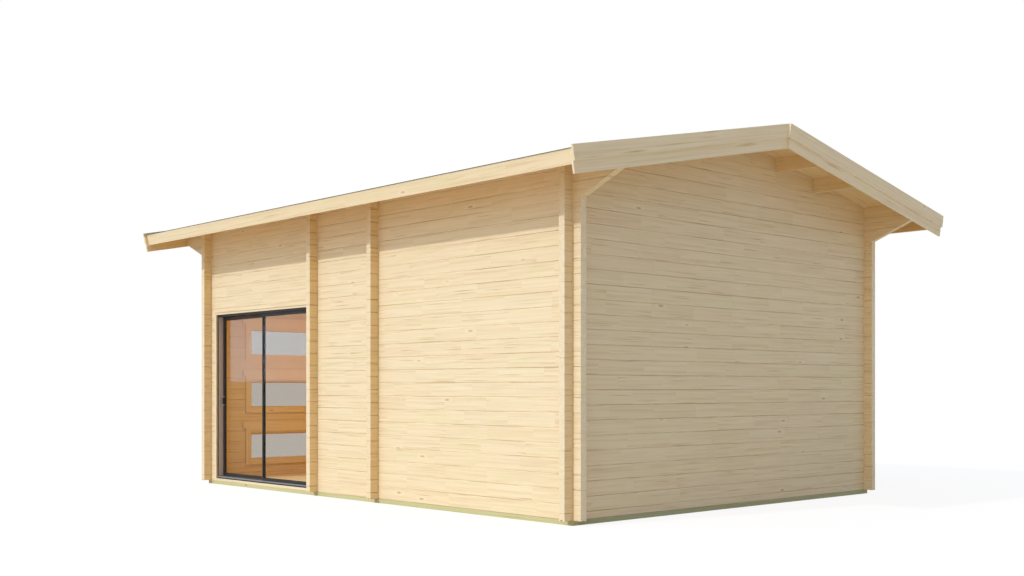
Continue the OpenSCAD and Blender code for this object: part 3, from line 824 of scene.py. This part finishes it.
handle_low, handle_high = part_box("door_handle")
grip = ((handle_low.z + handle_high.z) / 2, (handle_high.z - handle_low.z) / 2 - HANDLE_FOOT)
dress(brushed("brushed steel", (0.34, 0.35, 0.36), BRUSHED_UP), "sliding_panel_carriages")
handle_steel = brushed("steel handle with a dark grip", (0.58, 0.56, 0.57), BRUSHED_UP,
                       lambda x, y, z: 1 - (z - grip[0]).abs().step(grip[1] - 0.004, grip[1]))
dress(handle_steel, "door_handle")
zinc = brushed("zinc plate", (0.86, 0.80, 0.66), (300, 300, 300))

# %% [markdown]
# Window glass hardly bends light, so it is drawn as what it does: most light goes straight through with a
# slight tint, and a little is mirrored, more of it at a flat angle. That also lets the sun reach the floor
# inside, which a thick glass shader would block.


# %% Glass
def glass(name, tint, mirrored):
    material, shader, _, _ = new_finish(name)
    tree = material.node_tree
    tree.nodes.remove(shader)
    start = Socket(tree)
    clear = start.node("ShaderNodeBsdfTransparent", {"Color": (*tint, 1)})
    mirror = start.node("ShaderNodeBsdfGlossy", {"Color": (1, 1, 1, 1), "Roughness": 0.02})
    slant = start.node("ShaderNodeLayerWeight", {"Blend": 0.5}, output="Facing")
    pane = start.node("ShaderNodeMixShader", {0: slant ** 5 * 0.2 + mirrored, 1: clear, 2: mirror})
    tree.links.new(pane.output, tree.nodes["Material Output"].inputs["Surface"])
    return material


door_glass = glass("door glass", (0.95, 0.965, 0.955), 0.004)
dress(glass("window glass grey", (0.70, 0.656, 0.618), 0.010), "window_glass")

# %% [markdown]
# The door's two panels are slim. The sliding one has a wider stile at the lock, both have narrow rails, and
# where they meet each has a thin stile that stands just behind or just before the other. In the model their
# frames are heavier, so these stand in for them, in the same planes. Each bar is a box with its edges
# rounded off, because a sharp edge catches no light and looks drawn.


# %% Door panels
def bars(name, boxes, finish, body, replaced, rounding):
    """A piece made of straight bars, each between two corners, with rounded edges."""
    gathered = bmesh.new()
    for low, high in boxes:
        middle = (Vector(low) + Vector(high)) / 2
        span = Vector(high) - Vector(low)
        bar = bmesh.new()
        bmesh.ops.create_cube(bar, size=1, matrix=Matrix.Translation(middle) @ Matrix.Diagonal((*span, 1)))
        bmesh.ops.bevel(bar, geom=bar.edges[:], offset=rounding, segments=2, profile=0.5, affect="EDGES")
        part = bpy.data.meshes.new("bar")
        bar.to_mesh(part)
        bar.free()
        gathered.from_mesh(part)
        bpy.data.meshes.remove(part)
    mesh = bpy.data.meshes.new(name)
    gathered.to_mesh(mesh)
    gathered.free()
    mesh.materials.append(finish)
    piece = bpy.data.objects.new(name, mesh)
    scene.collection.objects.link(piece)
    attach(piece, body)
    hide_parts(replaced)
    print(name, "bars", len(boxes))
    return piece


LOCK_STILE = 0.044
JAMB_STILE = 0.022
LOCK_D = 0.022
RAIL_D = 0.032
MEETING_STILE = 0.022
MEETING_D = 0.014
SLIM_RAIL = 0.030
PANE_T = 0.008
PANE_IN = 0.003
PANE_ROUND = 0.0005
SNUG = 0.0003
slide_low, slide_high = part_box("sliding_panel_frame")
fixed_low, fixed_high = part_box("fixed_panel_frame")
meeting = (fixed_low.x, fixed_low.x + MEETING_STILE)
panel_plans = {
    "sliding_panel": {
        "body": "sliding_panel", "z": (slide_low.z, slide_high.z), "y": (slide_low.y, slide_low.y + RAIL_D),
        "stiles": [(slide_low.x, slide_low.x + LOCK_STILE, slide_low.y, slide_low.y + LOCK_D),
                   (*meeting, slide_low.y, slide_low.y + MEETING_D)],
        "pane": (slide_low.y + PANE_IN, slide_low.y + PANE_IN + PANE_T),
    },
    "fixed_panel": {
        "body": "house", "z": (fixed_low.z, fixed_high.z), "y": (fixed_high.y - RAIL_D, fixed_high.y),
        "stiles": [(*meeting, fixed_high.y - MEETING_D, fixed_high.y),
                   (fixed_high.x - JAMB_STILE, fixed_high.x, fixed_high.y - RAIL_D, fixed_high.y)],
        "pane": (fixed_high.y - PANE_IN - PANE_T, fixed_high.y - PANE_IN),
    },
}
door_panes = []
for panel, plan in panel_plans.items():
    z0, z1 = plan["z"]
    boxes = [((x0, y0, z0), (x1, y1, z1)) for x0, x1, y0, y1 in plan["stiles"]]
    hole_x = plan["hole_x"] = (plan["stiles"][0][1], plan["stiles"][1][0])
    hole_z = plan["hole_z"] = (z0 + SLIM_RAIL, z1 - SLIM_RAIL)
    for low, high in ((z0, hole_z[0]), (hole_z[1], z1)):
        boxes.append(((hole_x[0], plan["y"][0], low), (hole_x[1], plan["y"][1], high)))
    bars(panel + "_slim_frame", boxes, coat, plan["body"], panel + "_frame", EDGE_ROUND)
    pane_low = (hole_x[0] + SNUG, plan["pane"][0], hole_z[0] + SNUG)
    pane_high = (hole_x[1] - SNUG, plan["pane"][1], hole_z[1] - SNUG)
    door_panes.append(bars(panel + "_pane", [(pane_low, pane_high)], door_glass, plan["body"],
                           panel + "_glass", PANE_ROUND))

# %% [markdown]
# Each pane is held by a loop that runs round it: a wooden bead on a window, a black rubber gasket on the
# door. A loop is a rectangle swept by a small section. At a mitred corner the sweep narrows the section, so
# the tree widens it by the root of two to keep the bead its full width.

# %% Beads and gaskets
loops_tree, size = new_tree("loops round panes", Width=FLOAT, Height=FLOAT, Bead=FLOAT, Depth=FLOAT,
                            Chamfer=FLOAT, Columns=INT, Across=FLOAT, Rows=INT, Up=FLOAT, Finish=MATERIAL)
start = Socket(loops_tree)
path = start.node("GeometryNodeCurvePrimitiveQuadrilateral",
                  {"Width": size["Width"] - size["Bead"], "Height": size["Height"] - size["Bead"]})
section = start.node("GeometryNodeCurvePrimitiveQuadrilateral",
                     {"Width": size["Bead"] * math.sqrt(2), "Height": size["Depth"]})
section = start.node("GeometryNodeFilletCurve", {"Curve": section, "Count": 1, "Radius": size["Chamfer"]},
                     mode="POLY")
path = start.node("GeometryNodeSetCurveNormal", {"Curve": path}, mode="Z_UP")
loop = start.node("GeometryNodeCurveToMesh", {"Curve": path, "Profile Curve": section})
loop = start.node("GeometryNodeSetShadeSmooth", {"Geometry": loop, "Shade Smooth": False})
end_tree(on_grid(start, loop, size), size["Finish"])

WINDOW_BEAD = 0.014
BEAD_CHAMFER = 0.002
GASKET_W = 0.005
GASKET_D = 0.0025
GASKET_CHAMFER = 0.0008


def rubber(name):
    material, shader, place, _ = new_finish(name)
    bloom = place.noise((14, 14, 14), 4).step(0.4, 0.8)
    shade = colour(material.node_tree, (0.012, 0.012, 0.013)).mix((0.05, 0.05, 0.05), bloom * 0.3)
    feed(shader, "Base Color", shade)
    feed(shader, "Roughness", bloom * 0.2 + 0.55)
    relief(shader, place.noise((500, 500, 500), 2), 0.0002, 0.4)
    return material


low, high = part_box("window_glass")
bead_places = []
for x, out in ((low.x, -1), (high.x, 1)):
    centre = Vector((x + out * (WINDOW_BEAD / 2 + SNUG), *WINDOWS_MIDDLE))
    bead_places.append(stand((0, 1, 0), (1, 0, 0), centre))
grow("window_beads", loops_tree, bead_places, "house", "trim_wood", Width=HOLE_W - 2 * SNUG,
     Height=HOLE_H - 2 * SNUG, Bead=WINDOW_BEAD, Depth=WINDOW_BEAD, Chamfer=BEAD_CHAMFER, Columns=2,
     Across=WINDOWS_APART[0], Rows=3, Up=WINDOWS_APART[1], Finish=frame_wood)

gasket_rubber = rubber("black rubber")
for panel, plan in panel_plans.items():
    gasket_places = []
    for y, out in ((plan["pane"][0], -1), (plan["pane"][1], 1)):
        centre = Vector((sum(plan["hole_x"]) / 2, y + out * (GASKET_D / 2 + SNUG), sum(plan["hole_z"]) / 2))
        gasket_places.append(stand((1, 0, 0), (0, -1, 0), centre))
    grow(panel + "_gaskets", loops_tree, gasket_places, plan["body"], "door_metal",
         Width=plan["hole_x"][1] - plan["hole_x"][0] - 2 * SNUG,
         Height=plan["hole_z"][1] - plan["hole_z"][0] - 2 * SNUG, Bead=GASKET_W, Depth=GASKET_D,
         Chamfer=GASKET_CHAMFER, Columns=1, Across=0.0, Rows=1, Up=0.0, Finish=gasket_rubber)

# %% [markdown]
# Boards at the roof's edge and round the windows are screwed on, and the felt is nailed along its lower
# edges. The heads are low domes, half sunk in the wood, set out on a grid. A bargeboard leans, so its
# length and height are worked back from its box.

# %% Screws and nails
fixings_tree, size = new_tree("rows of fixings", Columns=INT, Across=FLOAT, Rows=INT, Up=FLOAT, Radius=FLOAT,
                              Dome=FLOAT, Finish=MATERIAL)
start = Socket(fixings_tree)
ball = start.node("GeometryNodeMeshUVSphere", {"Segments": 10, "Rings": 6, "Radius": 1.0})
head_scale = start.vector(size["Radius"], size["Radius"], size["Dome"])
head = start.node("GeometryNodeTransform", {"Geometry": ball, "Scale": head_scale})
head = start.node("GeometryNodeSetShadeSmooth", {"Geometry": head})
end_tree(on_grid(start, head, size), size["Finish"])

SCREW_R = 0.0038
SCREW_DOME = 0.0008
BARGE_SCREWS = 7
BARGE_SCREWS_IN = 0.08
FASCIA_T = 0.020
FASCIA_SCREWS = 13
FASCIA_SCREWS_APART = (0.6, 0.06)
CASING_SCREWS_UP = 0.19
NAIL_R = 0.006
NAIL_DOME = 0.001
NAILS = 50
NAILS_APART = 0.15
cos_twice = RISE.y ** 2 - RISE.z ** 2

for side, where in SLOPES:
    for part in ("upper", "lower"):
        board = where + "_" + part + "_bargeboards"
        low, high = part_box(board)
        span = high - low
        board_l = (span.y * RISE.y - span.z * RISE.z) / cos_twice
        board_h = (span.z * RISE.y - span.y * RISE.z) / cos_twice
        screw_places = []
        for x, out in ((low.x, -1), (high.x, 1)):
            centre = Vector((x, (low.y + high.y) / 2, (low.z + high.z) / 2))
            screw_places.append(stand(downhill(side), (out, 0, 0), centre))
        print(board, "length", round(board_l, 3), "height", round(board_h, 3))
        grow(board + "_screws", fixings_tree, screw_places, "house", "handle_steel", Columns=BARGE_SCREWS,
             Across=(board_l - 2 * BARGE_SCREWS_IN) / (BARGE_SCREWS - 1), Rows=2, Up=board_h / 2,
             Radius=SCREW_R, Dome=SCREW_DOME, Finish=zinc)

fascia_screws = []
for side, where in SLOPES:
    low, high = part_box(where + "_fascia")
    centre = Vector((0, (low.y + high.y) / 2, (low.z + high.z) / 2)) + downhill(side) * (FASCIA_T / 2)
    fascia_screws.append(stand((side, 0, 0), downhill(side), centre))
grow("fascia_screws", fixings_tree, fascia_screws, "house", "handle_steel", Columns=FASCIA_SCREWS,
     Across=FASCIA_SCREWS_APART[0], Rows=2, Up=FASCIA_SCREWS_APART[1], Radius=SCREW_R, Dome=SCREW_DOME,
     Finish=zinc)

casing_screws = []
for x, out in ((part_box("window_casings_outside")[0].x, -1), (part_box("window_casings_inside")[1].x, 1)):
    for across in (-0.5, 0.5):
        for up in (-1, 0, 1):
            y = WINDOWS_MIDDLE[0] + across * WINDOWS_APART[0]
            z = WINDOWS_MIDDLE[1] + up * WINDOWS_APART[1]
            casing_screws.append(stand((0, out, 0), (out, 0, 0), Vector((x, y, z))))
grow("casing_screws", fixings_tree, casing_screws, "house", "handle_steel", Columns=2,
     Across=OPENING_W - 2 * CASING_LAP + CASING_W, Rows=3, Up=CASING_SCREWS_UP, Radius=SCREW_R,
     Dome=SCREW_DOME, Finish=zinc)
grow("felt_nails", fixings_tree, nail_places, "house", "handle_steel", Columns=RUNS, Across=run_step,
     Rows=NAILS, Up=NAILS_APART, Radius=NAIL_R, Dome=NAIL_DOME, Finish=zinc)

# %% [markdown]
# The studio has a low sun from the front and a little from the left, as the shadow below the eaves shows. A
# sun lamp throws parallel light, so only its direction counts. A little spread softens the edge of the
# shadow.

# %% Sun
SUN_ELEVATION = math.radians(35)
SUN_FROM_LEFT = math.radians(10)
SUN_STRENGTH = 1.50
SUN_SPREAD = math.radians(1.2)

sun_data = bpy.data.lights.new("sun", "SUN")
sun_data.energy = SUN_STRENGTH
sun_data.angle = SUN_SPREAD
sun = bpy.data.objects.new("sun", sun_data)
to_sun = Vector((
    -math.sin(SUN_FROM_LEFT) * math.cos(SUN_ELEVATION),
    -math.cos(SUN_FROM_LEFT) * math.cos(SUN_ELEVATION),
    math.sin(SUN_ELEVATION),
))
sun.rotation_euler = (-to_sun).to_track_quat("-Z", "Y").to_euler()
scene.collection.objects.link(sun)
print("sun", SUN_STRENGTH, "towards", [round(v, 3) for v in to_sun])

# %% [markdown]
# A real room gathers daylight and throws it from wall to wall. A soft, warm lamp under the left room's roof
# stands for that light, so that the wood behind the glass is seen. Mirrors don't show it.

# %% Room lamp
LAMP_SIZE = (1.2, 3.2)
LAMP_WATTS = 29
LAMP_SHADE = (1.0, 0.62, 0.21)
LAMP_ASIDE = 0.25
LAMP_Y = -0.6
LAMP_Z = 2.5


def area_light(name, size, watts, shade):
    """A rectangle that shines, hidden from the camera."""
    data = bpy.data.lights.new(name, "AREA")
    data.shape = "RECTANGLE"
    data.size, data.size_y = size
    data.energy = watts
    data.color = shade
    light = bpy.data.objects.new(name, data)
    light.visible_camera = False
    scene.collection.objects.link(light)
    return light


room_low, room_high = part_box("floor_left_room")
lamp = area_light("room lamp", LAMP_SIZE, LAMP_WATTS, LAMP_SHADE)
lamp.location = ((room_low.x + room_high.x) / 2 + LAMP_ASIDE, LAMP_Y, LAMP_Z)
lamp.visible_glossy = False
print("room lamp at", [round(v, 3) for v in lamp.location])

# %% [markdown]
# Far off to the front left stands a pale blue panel that only the door's glass mirrors: a clear sky above
# the horizon. Light linking keeps it off everything else.

# %% Sky panel
SKY_PANEL = (60.0, 30.0)
SKY_PANEL_FOOT = 1.43
SKY_PANEL_AT = (-28.0, -17.4)
SKY_PANEL_WATTS = 40000
SKY_PANEL_SHADE = (0.46, 0.68, 1.0)

panel = area_light("sky panel", SKY_PANEL, SKY_PANEL_WATTS, SKY_PANEL_SHADE)
panel.location = (*SKY_PANEL_AT, SKY_PANEL_FOOT + SKY_PANEL[1] / 2)
to_door = Vector((door_middle - SKY_PANEL_AT[0], door_low.y - SKY_PANEL_AT[1], 0))
panel.rotation_euler = to_door.to_track_quat("-Z", "Y").to_euler()
panel.visible_diffuse = False
panel.visible_transmission = False
glazing = bpy.data.collections.new("door glazing")
for pane in door_panes:
    glazing.objects.link(pane)
panel.light_linking.receiver_collection = glazing
print("sky panel for", ", ".join(pane.name for pane in door_panes))

# %% [markdown]
# The sky is cool, and brighter and warmer round the sun, as a hazy one is. Where it is seen itself, by the
# camera, in a mirror or through glass, it is plain white. As a source of light it keeps its own colours.

# %% Sky
SKY = 0.46
SUN_HAZE = 0.80
SKY_SHADE = (0.94, 1.05, 1.30)
HAZE_SHADE = (1.00, 0.95, 0.82)


def seen_directly(tree):
    """1 for rays that show the background itself: from the camera, in a mirror or through glass."""
    rays = [Socket(tree).node("ShaderNodeLightPath", output=name) for name in
            ("Is Camera Ray", "Is Glossy Ray", "Is Transmission Ray")]
    return rays[0].maths("MAXIMUM", rays[0].maths("MAXIMUM", rays[0], rays[1]), rays[2])


world = bpy.data.worlds.new("white studio")
world.use_nodes = True
scene.world = world
background = world.node_tree.nodes["Background"]
way = Socket(world.node_tree).node("ShaderNodeTexCoord", output="Generated")
near_sun = way.node("ShaderNodeVectorMath", {0: way, 1: to_sun}, output="Value", operation="DOT_PRODUCT")
haze = near_sun.maths("MAXIMUM", near_sun, 0.0) ** 3 * SUN_HAZE
shown = seen_directly(world.node_tree)
tone = colour(world.node_tree, SKY_SHADE).mix(HAZE_SHADE, haze / (haze + SKY))
feed(background, "Color", tone.mix((1, 1, 1), shown))
feed(background, "Strength", shown + (haze + SKY) * (1 - shown))
print("sky", SKY, "haze", SUN_HAZE)

# %% [markdown]
# The floor is white too where it is seen, and keeps a faint shadow. The light that it throws back on the
# walls is that of sandy gravel.

# %% Floor
FLOOR_BOUNCE = (0.735, 0.658, 0.518)
FLOOR_SEEN = 0.14
FLOOR_GLOW = 0.88
FLOOR_HALF = 90

floor_mesh = bpy.data.meshes.new("floor")
f = FLOOR_HALF
floor_mesh.from_pydata([(-f, -f, 0), (f, -f, 0), (f, f, 0), (-f, f, 0)], [], [(0, 1, 2, 3)])
floor = bpy.data.objects.new("floor", floor_mesh)
scene.collection.objects.link(floor)
floor_material = bpy.data.materials.new("pale floor")
floor_material.use_nodes = True
floor_tree = floor_material.node_tree
floor_tree.nodes.remove(floor_tree.nodes["Principled BSDF"])
start = Socket(floor_tree)
bounce = start.node("ShaderNodeBsdfDiffuse", {"Color": (*FLOOR_BOUNCE, 1)})
plain = start.node("ShaderNodeBsdfDiffuse", {"Color": (FLOOR_SEEN,) * 3 + (1,)})
glow = start.node("ShaderNodeEmission", {"Color": (1, 1, 1, 1), "Strength": FLOOR_GLOW})
white = start.node("ShaderNodeAddShader", {0: plain, 1: glow})
mixed = start.node("ShaderNodeMixShader", {0: seen_directly(floor_tree), 1: bounce, 2: white})
floor_tree.links.new(mixed.output, floor_tree.nodes["Material Output"].inputs["Surface"])
floor_mesh.materials.append(floor_material)
floor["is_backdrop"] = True
scene.view_settings.view_transform = "Standard"
print("floor", 2 * FLOOR_HALF, "metres square")

# %% [markdown]
# Last, the size of the dressed cabin is written beside that of the bare one, to see that nothing has grown.

# %% Sizes and the end
low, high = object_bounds()
